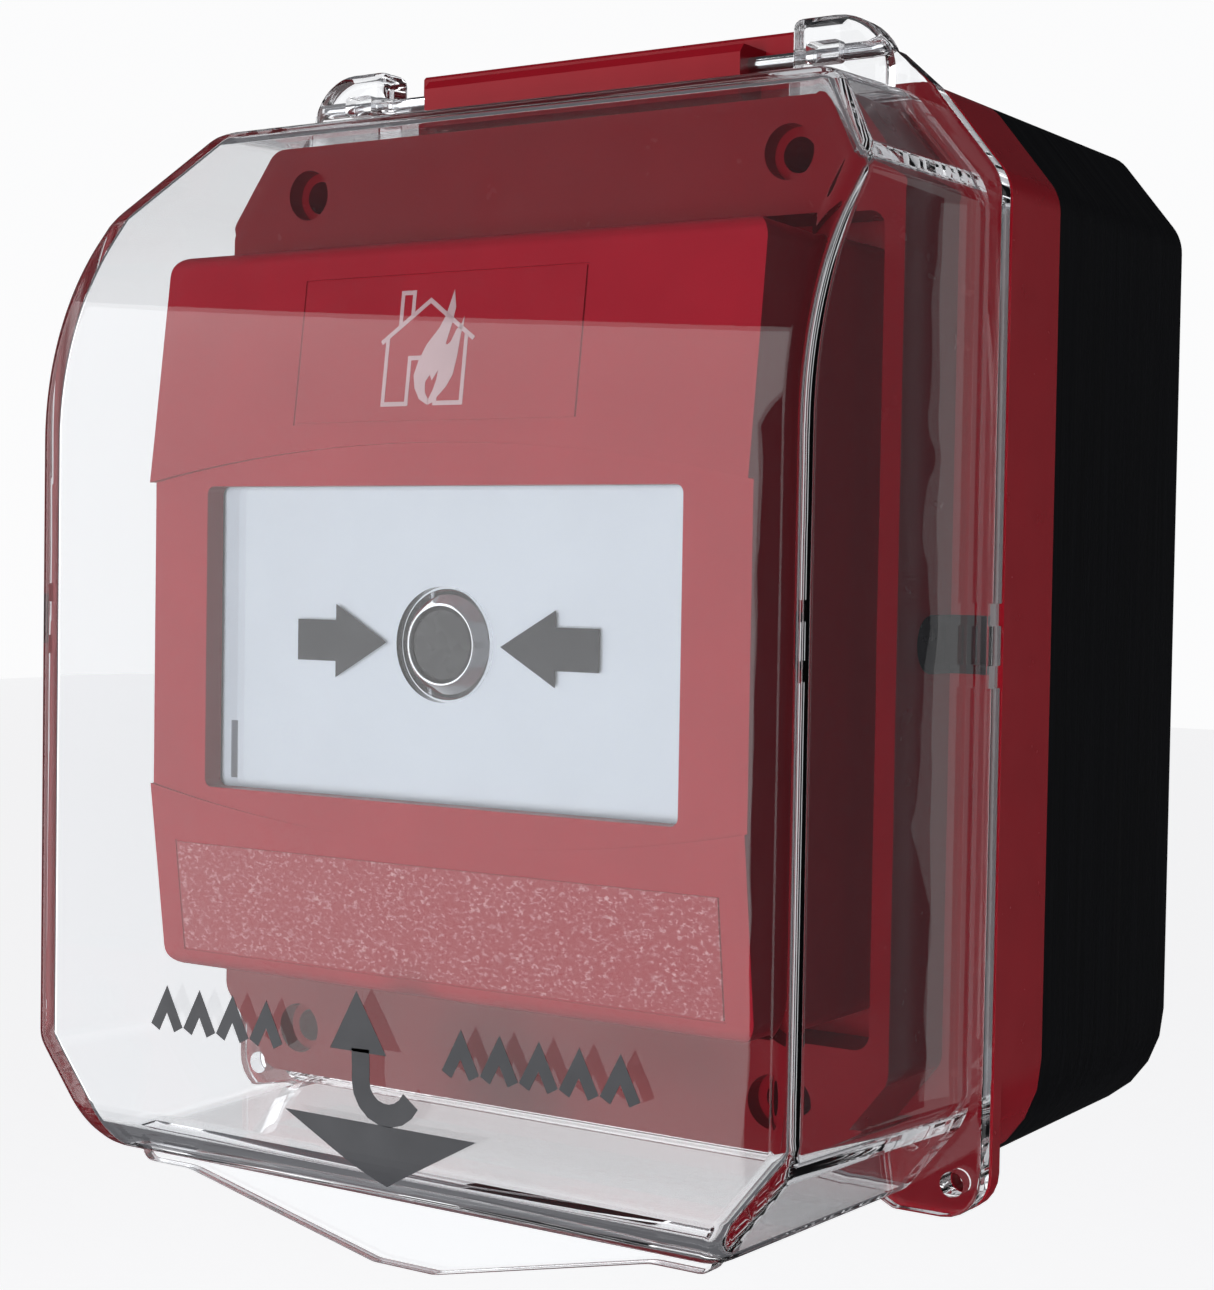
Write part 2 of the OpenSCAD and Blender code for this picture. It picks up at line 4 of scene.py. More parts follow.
import bmesh
import bpy
from mathutils import Matrix, Vector


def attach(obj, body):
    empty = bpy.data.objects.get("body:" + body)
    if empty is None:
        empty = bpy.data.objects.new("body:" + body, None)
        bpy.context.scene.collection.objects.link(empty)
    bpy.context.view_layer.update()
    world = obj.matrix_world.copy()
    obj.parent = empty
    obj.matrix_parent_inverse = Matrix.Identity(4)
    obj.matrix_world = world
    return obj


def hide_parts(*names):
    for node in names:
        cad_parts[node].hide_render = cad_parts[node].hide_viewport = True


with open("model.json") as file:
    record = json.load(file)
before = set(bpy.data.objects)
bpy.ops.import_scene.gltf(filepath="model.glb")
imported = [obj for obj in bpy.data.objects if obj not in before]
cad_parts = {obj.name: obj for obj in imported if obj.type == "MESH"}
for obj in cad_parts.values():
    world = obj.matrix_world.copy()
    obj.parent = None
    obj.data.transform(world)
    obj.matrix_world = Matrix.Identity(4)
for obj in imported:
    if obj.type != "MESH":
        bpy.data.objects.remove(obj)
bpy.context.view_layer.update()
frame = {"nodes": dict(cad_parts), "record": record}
NODES = frame["nodes"]
BODY_OF = {n: b for b, names in frame["record"]["behaviour"]["bodies"].items() for n in names}
SLOT_OF = {p["node"]: p["material_slot"] for p in frame["record"]["subparts"]}

# Depths from the wall and other sizes that part.scad also uses, in millimetres
FACE_D = 90.0
COVER_D = 100.8
COVER_WALL = 2.4
RIDGE = 0.9
END_DROP = 2.5
PANE_FRONT = FACE_D - 2.9
BUTTON_Z = -2.5
SLOPE_START = 18.8
CALL_POINT_H = 89.6
SLOPE = (RIDGE + END_DROP) / (CALL_POINT_H / 2 - SLOPE_START)
# The flag is dark above this height and yellow below it
FLAG_SPLIT_Z = -19.7
# Box around the keyhole pockets in the base, where near-black painted shade stands for the pockets' shadow:
# centre and half size by X (either side), depth and Z
KEYHOLE_SHADE_BOX = ((51.4, 57.8, -1.4), (4.2, 3.9, 3.45))
# Near-black painted shade for the keyhole pockets, not a colour of the plastic
POCKET_PAINTED_SHADE = (0.008, 0.008, 0.009)


def at(x, d, z):
    """A point given in millimetres by X, depth from the wall and Z, in the frame's metres."""
    return Vector((x / 1000, -d / 1000, z / 1000))


# ---------------------------------------------------------------- materials

class Nodes:
    """Short forms for building one material's node tree."""

    def __init__(self, name):
        self.material = bpy.data.materials.new(name)
        self.material.use_nodes = True
        self.tree = self.material.node_tree
        self.tree.nodes.clear()
        self.out = self.new("ShaderNodeOutputMaterial")
        self.bsdf = self.new("ShaderNodeBsdfPrincipled")
        self.link(self.bsdf.outputs[0], self.out.inputs[0])
        self.coord = self.new("ShaderNodeTexCoord").outputs["Object"]

    def new(self, kind, **values):
        node = self.tree.nodes.new(kind)
        for key, value in values.items():
            setattr(node, key, value)
        return node

    def link(self, a, b):
        self.tree.links.new(a, b)

    def put(self, name, value):
        socket = self.bsdf.inputs[name]
        if isinstance(value, bpy.types.NodeSocket):
            self.link(value, socket)
        else:
            socket.default_value = value

    def scaled(self, x, y, z):
        node = self.new("ShaderNodeMapping")
        node.inputs["Scale"].default_value = (x, y, z)
        self.link(self.coord, node.inputs["Vector"])
        return node.outputs[0]

    def noise(self, scale, detail=3.0, rough=0.55, vector=None):
        node = self.new("ShaderNodeTexNoise")
        node.inputs["Scale"].default_value = scale
        node.inputs["Detail"].default_value = detail
        node.inputs["Roughness"].default_value = rough
        self.link(vector or self.coord, node.inputs["Vector"])
        return node.outputs["Fac"]

    def span(self, value, low, high, to_low=0.0, to_high=1.0):
        node = self.new("ShaderNodeMapRange")
        self.link(value, node.inputs["Value"])
        for name, number in zip(("From Min", "From Max", "To Min", "To Max"), (low, high, to_low, to_high)):
            node.inputs[name].default_value = number
        return node.outputs["Result"]

    def mix(self, factor, a, b, blend="MIX"):
        node = self.new("ShaderNodeMix", data_type="RGBA", blend_type=blend)
        for socket, value in ((node.inputs[0], factor), (node.inputs[6], a), (node.inputs[7], b)):
            if isinstance(value, bpy.types.NodeSocket):
                self.link(value, socket)
            elif isinstance(value, (int, float)):
                socket.default_value = value
            else:
                socket.default_value = (*value[:3], 1)
        return node.outputs[2]

    def math(self, operation, a, b=0.0):
        node = self.new("ShaderNodeMath", operation=operation)
        for socket, value in zip(node.inputs, (a, b)):
            if isinstance(value, bpy.types.NodeSocket):
                self.link(value, socket)
            else:
                socket.default_value = value
        return node.outputs[0]

    def bump(self, height, strength, distance=0.0001, normal=None):
        node = self.new("ShaderNodeBump")
        node.inputs["Strength"].default_value = strength
        node.inputs["Distance"].default_value = distance
        self.link(height, node.inputs["Height"])
        if normal is not None:
            self.link(normal, node.inputs["Normal"])
        return node.outputs[0]


def shade(color, factor):
    return tuple(min(1.0, c * factor) for c in color)


def inside_box(n, centre, half):
    """1 inside a box given in millimetres by X (either side), depth and Z, and 0 outside it."""
    xyz = n.new("ShaderNodeSeparateXYZ")
    n.link(n.coord, xyz.inputs[0])
    result = None
    for socket, sign, middle, reach in zip(xyz.outputs, (1, -1, 1), centre, half):
        if socket.name == "X":
            value = n.math("ABSOLUTE", socket)
        else:
            value = n.math("MULTIPLY", socket, sign)
        away = n.math("ABSOLUTE", n.math("SUBTRACT", value, middle / 1000))
        near = n.math("LESS_THAN", away, reach / 1000)
        result = near if result is None else n.math("MULTIPLY", result, near)
    return result


def plastic(
        name, color, rough=0.35, vary=0.10, grain=0.12, grain_scale=9000, coat=0.0, specular=0.5,
        painted_shade_box=None):
    """Moulded plastic: slow colour drift, fine moulded grain and patches of different polish. Inside the
    optional box it is painted near-black, as painted shade.
    """
    n = Nodes(name)
    drift = n.span(n.noise(90, 4), 0.3, 0.7)
    tone = n.mix(drift, shade(color, 1 - vary), shade(color, 1 + vary))
    # Painted shade: inside the given box the colour is replaced by near-black
    if painted_shade_box:
        tone = n.mix(inside_box(n, *painted_shade_box), tone, POCKET_PAINTED_SHADE)
    n.put("Base Color", tone)
    polish = n.noise(260, 3)
    n.put("Roughness", n.span(polish, 0.3, 0.7, rough * 0.85, min(1, rough * 1.15)))
    coarse = n.bump(n.noise(700, 2), 0.03, 0.0004)
    n.put("Normal", n.bump(n.noise(grain_scale, 2), grain, 0.00003, coarse))
    n.put("Specular IOR Level", specular)
    if coat:
        n.put("Coat Weight", coat)
        n.put("Coat Roughness", 0.06)
    return n.material


def metal(name, color, rough=0.25, streak=(60, 60, 60), amount=0.25):
    """Metal with fine streaks along one direction and a slightly uneven tone."""
    n = Nodes(name)
    streaks = n.noise(40, 4, 0.6, n.scaled(*streak))
    n.put("Base Color", n.mix(streaks, shade(color, 0.88), shade(color, 1.06)))
    n.put("Metallic", 1.0)
    n.put("Roughness", n.span(streaks, 0.3, 0.7, rough * (1 - amount), rough * (1 + amount)))
    n.put("Normal", n.bump(streaks, 0.12, 0.00003))
    return n.material


def clear(name, tint, rough=0.012, ior=1.5, haze=0.0, ripple=0.03):
    """Clear plastic. Shadow rays pass straight through, so what lies behind it is lit."""
    n = Nodes(name)
    n.put("Base Color", (*tint, 1))
    n.put("Transmission Weight", 1.0)
    n.put("IOR", ior)
    scuffs = n.noise(120, 6, 0.7)
    n.put("Roughness", n.span(scuffs, 0.55, 0.8, rough, rough + haze))
    n.put("Normal", n.bump(n.noise(45, 2), ripple, 0.0006))
    through = n.new("ShaderNodeBsdfTransparent")
    through.inputs[0].default_value = (*shade(tint, 0.93), 1)
    path = n.new("ShaderNodeLightPath")
    mixer = n.new("ShaderNodeMixShader")
    n.link(path.outputs["Is Shadow Ray"], mixer.inputs[0])
    n.link(n.bsdf.outputs[0], mixer.inputs[1])
    n.link(through.outputs[0], mixer.inputs[2])
    n.link(mixer.outputs[0], n.out.inputs[0])
    return n.material


def printed_layers(name):
    """Black plastic laid down in thin layers parallel to the wall."""
    n = Nodes(name)
    wide = n.noise(1, 3, 0.7, n.scaled(14, 900, 14))
    fine = n.noise(1, 2, 0.6, n.scaled(30, 3600, 30))
    both = n.math("ADD", n.math("MULTIPLY", wide, 0.6), n.math("MULTIPLY", fine, 0.4))
    n.put("Base Color", n.mix(n.span(both, 0.35, 0.65), (0.0018, 0.002, 0.0026), (0.0065, 0.007, 0.009)))
    n.put("Roughness", n.span(wide, 0.3, 0.7, 0.42, 0.62))
    n.put("Specular IOR Level", 0.10)
    n.put("Normal", n.bump(fine, 0.35, 0.00008, n.bump(wide, 0.3, 0.0002)))
    return n.material


def mottled_label(name, base, spot):
    """A scuffed film label: many small pale spots and a few broad worn patches."""
    n = Nodes(name)
    spots = n.span(n.noise(1500, 4, 0.72, n.scaled(1, 1, 1.5)), 0.52, 0.62)
    patches = n.span(n.noise(260, 4, 0.7), 0.35, 0.7)
    worn = n.math("MULTIPLY", spots, n.math("ADD", n.math("MULTIPLY", patches, 0.7), 0.3))
    n.put("Base Color", n.mix(worn, base, spot))
    n.put("Roughness", n.span(spots, 0.0, 1.0, 0.35, 0.6))
    n.put("Normal", n.bump(spots, 0.25, 0.00004))
    return n.material


def two_tone_flag(name):
    """The part of the flag behind the slot at rest is dark; the part below it is yellow."""
    n = Nodes(name)
    split = n.new("ShaderNodeSeparateXYZ")
    n.link(n.coord, split.inputs[0])
    low = n.math("LESS_THAN", split.outputs["Z"], FLAG_SPLIT_Z / 1000)
    grain = n.noise(900, 3)
    dark = n.mix(grain, (0.02, 0.02, 0.022), (0.035, 0.035, 0.04))
    bright = n.mix(grain, (0.62, 0.40, 0.03), (0.75, 0.50, 0.05))
    n.put("Base Color", n.mix(low, dark, bright))
    n.put("Roughness", n.span(grain, 0.3, 0.7, 0.35, 0.5))
    n.put("Normal", n.bump(grain, 0.1, 0.00003))
    return n.material


RED = (0.41, 0.013, 0.028)
DEEP_RED = (0.21, 0.004, 0.010)
MATERIALS = {
    "black_print": printed_layers("black_layered_plastic"),
    "black_rubber": plastic("black_rubber", (0.012, 0.012, 0.012), 0.8, 0.2, 0.3, 4000),
    "insert_brass": metal("brass", (0.72, 0.50, 0.20), 0.25),
    # The base's red has near-black painted shade in a box around each keyhole pocket
    "base_red": plastic(
        "base_red_plastic", DEEP_RED, 0.24, 0.05, 0.05, 5000, specular=0.22, painted_shade_box=KEYHOLE_SHADE_BOX),
    "screw_steel": metal("screw_steel", (0.56, 0.57, 0.60), 0.3),
    "rod_steel": metal("rod_steel", (0.83, 0.84, 0.86), 0.14, (4, 260, 260)),
    "cover_clear": clear("clear_cover_plastic", (0.975, 0.985, 0.995), 0.004, 1.5, 0.02),
    "call_point_red": plastic("call_point_red_plastic", RED, 0.38, 0.05, 0.06, 7000, specular=0.15),
    "natural_plastic": plastic("natural_plastic", (0.72, 0.69, 0.60), 0.45),
    "label_red": plastic("label_red_film", shade(RED, 0.97), 0.34, 0.04, 0.04, 12000, specular=0.15),
    "label_mottled": mottled_label("mottled_label_film", (0.37, 0.016, 0.030), (0.72, 0.40, 0.42)),
    "pane_clear": clear("pane_clear_plastic", (0.97, 0.985, 1.0), 0.01, 1.49, 0.01, ripple=0.008),
    "plate_white": plastic("plate_white_plastic", (0.88, 0.90, 0.95), 0.5, 0.02, 0.015, 2500, specular=0.15),
    "ring_chrome": metal("ring_chrome", (0.90, 0.91, 0.93), 0.06, (30, 30, 30), 0.4),
    "button_black": plastic("button_black_plastic", (0.018, 0.018, 0.02), 0.28, 0.15, 0.1, 9000),
    "spring_steel": metal("spring_steel", (0.68, 0.69, 0.71), 0.22),
    "flag_yellow": two_tone_flag("flag_two_tone"),
    "switch_black": plastic("switch_black_plastic", (0.02, 0.021, 0.024), 0.42),
    "plunger_red": plastic("plunger_red_plastic", (0.45, 0.02, 0.03), 0.35),
    "board_green": plastic("board_green_mask", (0.015, 0.16, 0.06), 0.22, 0.15, 0.1, 3000, coat=0.4),
    "resistor_beige": plastic("resistor_beige_lacquer", (0.55, 0.45, 0.25), 0.3, coat=0.3),
    "terminal_green": plastic("terminal_green_plastic", (0.03, 0.22, 0.09), 0.4),
}
PRINT_GREY = plastic("printed_grey_ink", (0.035, 0.036, 0.04), 0.5, 0.12, 0.1, 6000)
PICTOGRAM_PALE = plastic("printed_pale_ink", (0.62, 0.42, 0.44), 0.45, 0.08, 0.1, 6000)


# ---------------------------------------------------------------- meshes

def paint(obj, material):
    if obj.material_slots:
        for s in obj.material_slots:
            s.material = material
    else:
        obj.data.materials.append(material)


def finish_mesh(obj, smooth_angle):
    obj.data.shade_smooth()
    obj.data.set_sharp_from_angle(angle=math.radians(smooth_angle))
    normals = obj.modifiers.new("flat_faces_stay_flat", "WEIGHTED_NORMAL")
    normals.keep_sharp = True


def refined(node, width_mm, segments=2, edge_angle=28, smooth_angle=32):
    """A copy of a CAD node's mesh with its edges rounded, standing for that node."""
    source = NODES[node]
    mesh = bpy.data.meshes.new(node + "_refined")
    bm = bmesh.new()
    bm.from_mesh(source.data)
    bm.transform(source.matrix_world)
    bmesh.ops.remove_doubles(bm, verts=bm.verts, dist=2e-6)
    bmesh.ops.dissolve_limit(
        bm, angle_limit=math.radians(0.4), verts=bm.verts, edges=bm.edges, use_dissolve_boundaries=False)
    limit = math.radians(edge_angle)
    sharp = [e for e in bm.edges if len(e.link_faces) == 2 and e.calc_face_angle(0) > limit]
    corners = {v for e in sharp for v in e.verts}
    bmesh.ops.bevel(
        bm, geom=sharp + list(corners), offset=width_mm / 1000, offset_type="OFFSET", segments=segments,
        profile=0.6, affect="EDGES", clamp_overlap=True)
    bmesh.ops.remove_doubles(bm, verts=bm.verts, dist=1e-6)
    bmesh.ops.dissolve_degenerate(bm, edges=bm.edges, dist=1e-6)
    bmesh.ops.recalc_face_normals(bm, faces=bm.faces)
    bm.to_mesh(mesh)
    bm.free()
    obj = bpy.data.objects.new(node + "_shape", mesh)
    bpy.context.collection.objects.link(obj)
    finish_mesh(obj, smooth_angle)
    obj.data.materials.append(MATERIALS[SLOT_OF[node]])
    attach(obj, BODY_OF[node])
    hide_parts(node)
    return obj


def decal(name, outlines, depth_at, body, material, thickness=0.05):
    """Thin printed shapes: closed outlines in X and Z, laid on the surface that depth_at(z) gives."""
    bm = bmesh.new()
    for outline in outlines:
        front = [bm.verts.new(at(x, depth_at(z) + thickness, z)) for x, z in outline]
        back = [bm.verts.new(at(x, depth_at(z), z)) for x, z in outline]
        bm.faces.new(front)
        bm.faces.new(list(reversed(back)))
        count = len(outline)
        for i in range(count):
            j = (i + 1) % count
            bm.faces.new((front[i], back[i], back[j], front[j]))
    bmesh.ops.recalc_face_normals(bm, faces=bm.faces)
    mesh = bpy.data.meshes.new(name)
    bm.to_mesh(mesh)
    bm.free()
    obj = bpy.data.objects.new(name, mesh)
    bpy.context.collection.objects.link(obj)
    obj.data.materials.append(material)
    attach(obj, body)
    return obj


# ---------------------------------------------------------------- the clear cover

RIM_BACK, RIM_FRONT = 56.3, 59.3
ROD_D, ROD_Z, ROD_R = 59.3, 68.2, 1.02
EAR_X = (30.8, 43.5)
LUG_HOLE = (53.6, -64.4)
CURVE_Z, CURVE_R, CURVE_END = 21.5, 42.0, 39.0
CURVE_D = COVER_D - CURVE_R
LOW_R = 6.4
COVER_LOW = -67.1
# Half width of the cover at its front and at its rim
FRONT_HALF_W, REAR_HALF_W = 54.9, 55.9
# Depth of the point near the front that sets how the corner chamfers tilt
CHAMFER_D = 96.8


def plane_of(*points):
    """A plane through three points given as (X, depth, Z), facing away from the cover's middle."""
    a, b, c = (at(*p) for p in points)
    normal = (b - a).cross(c - a).normalized()
    if normal.dot(a - at(0, 75, 0)) < 0:
        normal.negate()
    return normal, a


def tangent_plane(centre_d, centre_z, radius, angle):
    """A plane that touches a circle seen from the side, at this angle above straight ahead."""
    a = math.radians(angle)
    return (Vector((0, -math.cos(a), math.sin(a))),
            at(0, centre_d + radius * math.cos(a), centre_z + radius * math.sin(a)))


def cover_planes():
    planes = [tangent_plane(CURVE_D, CURVE_Z, CURVE_R, CURVE_END * i / 48) for i in range(49)]
    planes += [tangent_plane(COVER_D - LOW_R, COVER_LOW + LOW_R, LOW_R, -90 * i / 24) for i in range(25)]
    planes.append(plane_of((0, 79.2, 63), (10, 79.2, 63), (0, 40, 64.5)))
    for s in (1, -1):
        front, rear = FRONT_HALF_W * s, REAR_HALF_W * s
        planes.append(plane_of((front, COVER_D, 0), (rear, RIM_BACK, 0), (rear, RIM_BACK, 10)))
        planes.append(plane_of((45.2 * s, RIM_BACK, 63.9), (rear, RIM_BACK, 51), (front, CHAMFER_D, 51)))
        planes.append(plane_of((46.6 * s, RIM_BACK, -67.4), (rear, RIM_BACK, -56), (front, CHAMFER_D, -54.5)))
    return planes


def to_object(bm, name):
    bmesh.ops.recalc_face_normals(bm, faces=bm.faces)
    mesh = bpy.data.meshes.new(name)
    bm.to_mesh(mesh)
    bm.free()
    obj = bpy.data.objects.new(name, mesh)
    bpy.context.collection.objects.link(obj)
    return obj


def bevel_edges(bm, edges, offset_mm, segments):
    bmesh.ops.bevel(
        bm, geom=edges + list({v for e in edges for v in e.verts}), offset=offset_mm / 1000,
        offset_type="OFFSET", segments=segments, profile=0.5, affect="EDGES", clamp_overlap=True)


def round_edges(bm, offset_mm, segments, angle):
    bmesh.ops.recalc_face_normals(bm, faces=bm.faces)
    limit = math.radians(angle)
    edges = [e for e in bm.edges if len(e.link_faces) == 2 and e.calc_face_angle(0) > limit]
    bevel_edges(bm, edges, offset_mm, segments)


def cut_body(name, inset_mm, back_d, offset_mm, segments):
    """The convex form of the cover, inset all round, cut out of a block plane by plane."""
    bm = bmesh.new()
    corners = [bm.verts.new(at(x, d, z)) for x in (-70, 70) for d in (back_d, 110) for z in (-80, 80)]
    for face in ((0, 1, 3, 2), (4, 6, 7, 5), (0, 4, 5, 1), (2, 3, 7, 6), (0, 2, 6, 4), (1, 5, 7, 3)):
        bm.faces.new([corners[i] for i in face])
    bmesh.ops.recalc_face_normals(bm, faces=bm.faces)
    for normal, point in cover_planes():
        cut = bmesh.ops.bisect_plane(
            bm, geom=bm.verts[:] + bm.edges[:] + bm.faces[:], dist=1e-7,
            plane_co=point - normal * inset_mm / 1000, plane_no=normal, clear_outer=True)
        edges = [g for g in cut["geom_cut"] if isinstance(g, bmesh.types.BMEdge)]
        if edges:
            bmesh.ops.contextual_create(bm, geom=edges)
    bmesh.ops.remove_doubles(bm, verts=bm.verts, dist=1e-6)
    back = [f for f in bm.faces if all(abs(v.co.y + back_d / 1000) < 1e-6 for v in f.verts)]
    kept = {e for f in back for e in f.edges}
    bmesh.ops.recalc_face_normals(bm, faces=bm.faces)
    edges = [e for e in bm.edges if e not in kept and e.calc_face_angle(0) > math.radians(9)]
    bevel_edges(bm, edges, offset_mm, segments)
    return to_object(bm, name)


def arc(cx, cz, radius, start, stop, steps=8):
    angles = [math.radians(start + (stop - start) * i / steps) for i in range(steps + 1)]
    return [(cx + radius * math.cos(a), cz + radius * math.sin(a)) for a in angles]


def rounded_outline(points, radii, steps=6):
    """A closed outline whose corners are rounded, each with its own radius."""
    result = []
    for i, (point, radius) in enumerate(zip(points, radii)):
        b = Vector(point)
        u = (Vector(points[i - 1]) - b).normalized()
        v = (Vector(points[(i + 1) % len(points)]) - b).normalized()
        half = u.angle(v) / 2
        centre = b + (u + v).normalized() * radius / math.sin(half)
        start = b + u * radius / math.tan(half) - centre
        stop = b + v * radius / math.tan(half) - centre
        a0 = math.atan2(start.y, start.x)
        turn = math.atan2(start.x * stop.y - start.y * stop.x, start.dot(stop))
        for k in range(steps + 1):
            a = a0 + turn * k / steps
            result.append(tuple(centre + radius * Vector((math.cos(a), math.sin(a)))))
    return result


def mirrored(right):
    return right + [(-x, z) for x, z in reversed(right)]


def prism(name, outline, place, low, high, offset_mm=0.0, segments=2, angle=30):
    """An outline drawn out between two values; place(u, v, w) says where a point lies."""
    bm = bmesh.new()
    rings = [[bm.verts.new(place(u, v, w)) for u, v in outline] for w in (low, high)]
    bm.faces.new(rings[0])
    bm.faces.new(rings[1][::-1])
    count = len(outline)
    for i in range(count):
        j = (i + 1) % count
        bm.faces.new((rings[0][i], rings[1][i], rings[1][j], rings[0][j]))
    if offset_mm:
        round_edges(bm, offset_mm, segments, angle)
    return to_object(bm, name)


def facing(x, z, d):
    return at(x, d, z)


def sideways(d, z, x):
    return at(x, d, z)


def flipped(x, z, d):
    return at(-x, d, z)


def combine(base, tools, operation):
    """Join or cut with exact booleans, keep the result in base and drop the tools."""
    for tool in tools:
        m = base.modifiers.new(tool.name, "BOOLEAN")
        m.operation, m.solver, m.object = operation, "EXACT", tool
    result = bpy.data.meshes.new_from_object(base.evaluated_get(bpy.context.evaluated_depsgraph_get()))
    base.modifiers.clear()
    base.data = result
    for tool in tools:
        bpy.data.objects.remove(tool)


def clear_cover():
    shell = cut_body("clear_cover_shape", 0, RIM_BACK + 0.4, 2.6, 5)
    rim = mirrored([(47.6, 64.5), (57.2, 52.4), (57.2, -67.2)])
    rim = rounded_outline(rim, [5, 6, 15.2, 15.2, 6, 5], 10)
    added = [prism("rim", rim, facing, RIM_BACK, RIM_FRONT, 0.45, 3)]
    lug = rounded_outline(
        [(40, -60), (57.15, -50), (57.15, -68.5), (46, -68.5), (42, -66.5)], [1, 1, 5, 2, 1])
    ear = [(EAR_X[0], 61.6), (EAR_X[0], 72.6), *arc(EAR_X[1] - 7, 65.6, 7, 90, 0, 10), (EAR_X[1], 61.6)]
    web = [(EAR_X[0] + 1, 62), (EAR_X[0] + 1, ROD_Z), (43.3, ROD_Z), (48.6, 63.4), (48.6, 62)]
    for side, place in (("right", facing), ("left", flipped)):
        added.append(prism("lug_" + side, lug, place, RIM_BACK + 0.02, RIM_FRONT - 0.02, 0.45, 3))
        added.append(prism("ear_" + side, ear, place, RIM_BACK + 0.01, ROD_D + 2.8, 1.3, 4, 40))
        added.append(prism("web_" + side, web, place, RIM_BACK + 0.05, RIM_FRONT - 0.05, 0.3, 2))
    combine(shell, added, "UNION")
    cuts = [cut_body("hollow", COVER_WALL, 50, 0.9, 3)]
    combine(shell, cuts, "DIFFERENCE")
    lip = mirrored([(42, COVER_LOW + 1.1), (42, -68.9), (34, -68.9), (4.5, -75.45)])
    combine(shell, [prism(
        "lip", rounded_outline(lip, [0.4, 1.8, 8, 5, 5, 8, 1.8, 0.4]), facing, 91.0, 94.2, 0.7, 3)], "UNION")
    cuts = []
    for s in (1, -1):
        bore = arc(ROD_D, ROD_Z, ROD_R, 0, 345, 23)
        ends = sorted((s * (EAR_X[0] - 1), s * (EAR_X[1] - 1.2)))
        cuts.append(prism("bore", bore, sideways, *ends))
        slot = rounded_outline([(33.0, 66.9), (37.4, 66.9), (37.4, 69.5), (33.0, 69.5)], [0.5] * 4, 3)
        place = facing if s > 0 else flipped
        cuts.append(prism("slot", slot, place, ROD_D, ROD_D + 8))
        cuts.append(prism("recess", [(33.3, 71.8), (38.8, 71.8), (38.8, 75), (33.3, 75)], place, 58.1, 60.7))
        hole = arc(*LUG_HOLE, 1.5, 0, 345, 23)
        cuts.append(prism("hole", hole, place, 50, 65))
        for low, high in ((-6.3, -3.7), (0.9, 3.5)):
            notch = [(56.7, low), (59, low), (59, high), (56.7, high)]
            cuts.append(prism("notch", notch, place, 55, 61))
    combine(shell, cuts, "DIFFERENCE")
    finish_mesh(shell, 38)
    shell.data.materials.clear()
    shell.data.materials.append(MATERIALS["cover_clear"])
    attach(shell, "cover")
    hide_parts("clear_cover")


clear_cover()
# CAD nodes that are seen from outside get rounded edges
refined("back_box", 0.5, 2)
refined("cover_base", 0.45, 2)
refined("call_point_front", 0.4, 3)
refined("push_button", 0.12, 2)
RING = refined("button_ring", 0.12, 2)
refined("backing_plate", 0.12, 2)
refined("call_point_body", 0.3, 2)
for node in NODES:
    paint(NODES[node], MATERIALS[SLOT_OF[node]])

# ---------------------------------------------------------------- prints


def slope_depth(z):
    return FACE_D + RIDGE - SLOPE * (abs(z) - SLOPE_START) + 0.06


def arrow(tip_x, head_x, tail_x, head_half, body_half, z):
    return [(tip_x, z), (head_x, z + head_half), (head_x, z + body_half), (tail_x, z + body_half),
            (tail_x, z - body_half), (head_x, z - body_half), (head_x, z - head_half)]


arrow_right = arrow(-8.45, -16.2, -22.2, 4.45, 2.5, BUTTON_Z)
arrow_left = [(-x, z) for x, z in arrow_right]
decal("pane_arrows", [arrow_right, arrow_left], lambda z: PANE_FRONT, "wall_unit", PRINT_GREY)


def stroke(points, width):
    """The outline of a flat line of constant width through the points."""
    left, right = [], []
    for i, p in enumerate(points):
        a = Vector(points[max(i - 1, 0)])
        b = Vector(points[min(i + 1, len(points) - 1)])
        along = (b - a).normalized()
        side = Vector((-along.y, along.x))
        if 0 < i < len(points) - 1:
            u = (Vector(p) - a).normalized()
            v = (b - Vector(p)).normalized()
            side = (Vector((-u.y, u.x)) + Vector((-v.y, v.x))).normalized()
            side = side / max(0.4, side.dot(Vector((-u.y, u.x))))
        left.append(tuple(Vector(p) + side * width / 2))
        right.append(tuple(Vector(p) - side * width / 2))
    return left + right[::-1]


